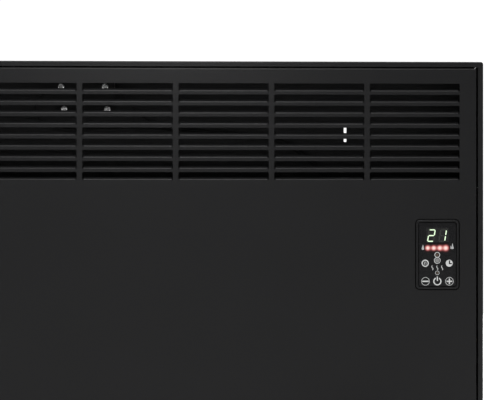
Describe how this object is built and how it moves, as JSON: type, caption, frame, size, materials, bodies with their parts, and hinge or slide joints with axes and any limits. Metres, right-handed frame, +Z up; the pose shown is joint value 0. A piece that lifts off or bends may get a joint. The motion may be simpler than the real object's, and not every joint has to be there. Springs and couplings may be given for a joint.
{
  "type": "panel convector heater",
  "caption": "Free-standing electric panel convector heater: shallow black steel casing, louvred front panel, touch control with a digit display, and two low feet.",
  "frame": {"origin": "on the floor, below the middle of the casing", "axes": "+Z up, the front panel faces -Y, +X towards the control panel's side"},
  "size_m": [0.8917, 0.236, 0.43],
  "materials": {
    "casing_black": "fine satin powder coat",
    "panel_black": "fine satin powder coat",
    "zinc_steel": "zinc plated",
    "bright_sheet": "bright rolled sheet",
    "black_bracket": "black, heat resistant",
    "black_screw": "black zinc",
    "bright_screw": "nickel plated",
    "black_rubber": "matte",
    "mica": "flaky satin",
    "cutout_body": "moulded phenolic",
    "fin_aluminium": "as extruded",
    "tube_steel": "heat-tinted",
    "bush_ceramic": "unglazed",
    "bezel_plastic": "satin moulded",
    "lens_dark": "smoked gloss",
    "board_green": "solder mask",
    "display_block": "black face",
    "led_red": "diffuse red",
    "led_amber": "diffuse amber",
    "spring_steel": "bright",
    "housing_plastic": "textured",
    "nylon_white": "natural nylon",
    "relay_black": "moulded",
    "transformer_tape": "yellow tape",
    "capacitor_sleeve": "printed-blank sleeve",
    "terminal_green": "moulded",
    "rocker_frame": "moulded",
    "rocker_paddle": "polished",
    "tilt_case_plastic": "moulded",
    "pendulum_brass": "turned",
    "gland_plastic": "glass-filled nylon",
    "brass_stud": "plain",
    "sensor_epoxy": "dipped epoxy",
    "foot_plastic": "fine moulded texture",
    "pad_rubber": "matte",
    "silicone_lead": "silicone sleeve",
    "ribbon_grey": "flat cable"
  },
  "bodies": {
    "casing": {"rear_casing": "casing_black", "front_panel": "panel_black", "panel_spacers": "zinc_steel", "panel_screws": "black_screw", "partition": "zinc_steel", "wire_grommets": "black_rubber", "heat_shield": "bright_sheet", "rear_screws": "black_screw", "cutout_bracket": "black_bracket", "bracket_screws": "bright_screw", "cutout_plate": "mica", "overheat_cutout": "cutout_body", "element_fins": "fin_aluminium", "element_tube": "tube_steel", "element_bush_left": "bush_ceramic", "element_bush_right": "bush_ceramic", "element_bracket_left": "zinc_steel", "element_bracket_right": "zinc_steel", "control_bezel": "bezel_plastic", "control_lens": "lens_dark", "touch_board": "board_green", "digit_display": "display_block", "level_leds": "led_red", "indicator_leds": "led_amber", "touch_springs": "spring_steel", "control_housing": "housing_plastic", "panel_studs": "zinc_steel", "housing_nuts": "bright_screw", "power_board": "board_green", "board_spacers": "nylon_white", "power_relays": "relay_black", "board_transformer": "transformer_tape", "board_capacitors": "capacitor_sleeve", "terminal_block": "terminal_green", "rocker_housing": "rocker_frame", "tilt_switch_case": "tilt_case_plastic", "tilt_switch_cover": "tilt_case_plastic", "tilt_pin": "spring_steel", "tilt_light_gate": "relay_black", "tilt_screws": "bright_screw", "cable_gland": "gland_plastic", "gland_nut": "gland_plastic", "earth_stud": "brass_stud", "earth_nut": "brass_stud", "sensor_clip": "nylon_white", "room_sensor": "sensor_epoxy", "foot_left": "foot_plastic", "foot_right": "foot_plastic", "foot_pads": "pad_rubber", "foot_screws": "black_screw", "element_leads": "silicone_lead", "lead_clips": "nylon_white", "cutout_leads": "silicone_lead", "rocker_leads": "silicone_lead", "ribbon_cable": "ribbon_grey", "ribbon_sockets": "nylon_white", "sensor_socket": "nylon_white", "sensor_leads": "silicone_lead"},
    "rocker": {"mains_rocker": "rocker_paddle"},
    "pendulum": {"tilt_pendulum": "pendulum_brass"}
  },
  "joints": [
    {"name": "rocker_tilt", "type": "hinge", "parent": "casing", "child": "rocker", "pos_m": [0.443, 0, 0.0565], "axis": [0, 1, 0], "range_deg": [-16, 0]},
    {"name": "tilt_swing", "type": "hinge", "parent": "casing", "child": "pendulum", "pos_m": [0.3341, 0.008, 0.077], "axis": [1, 0, 0], "range_deg": [-25, 25]}
  ]
}
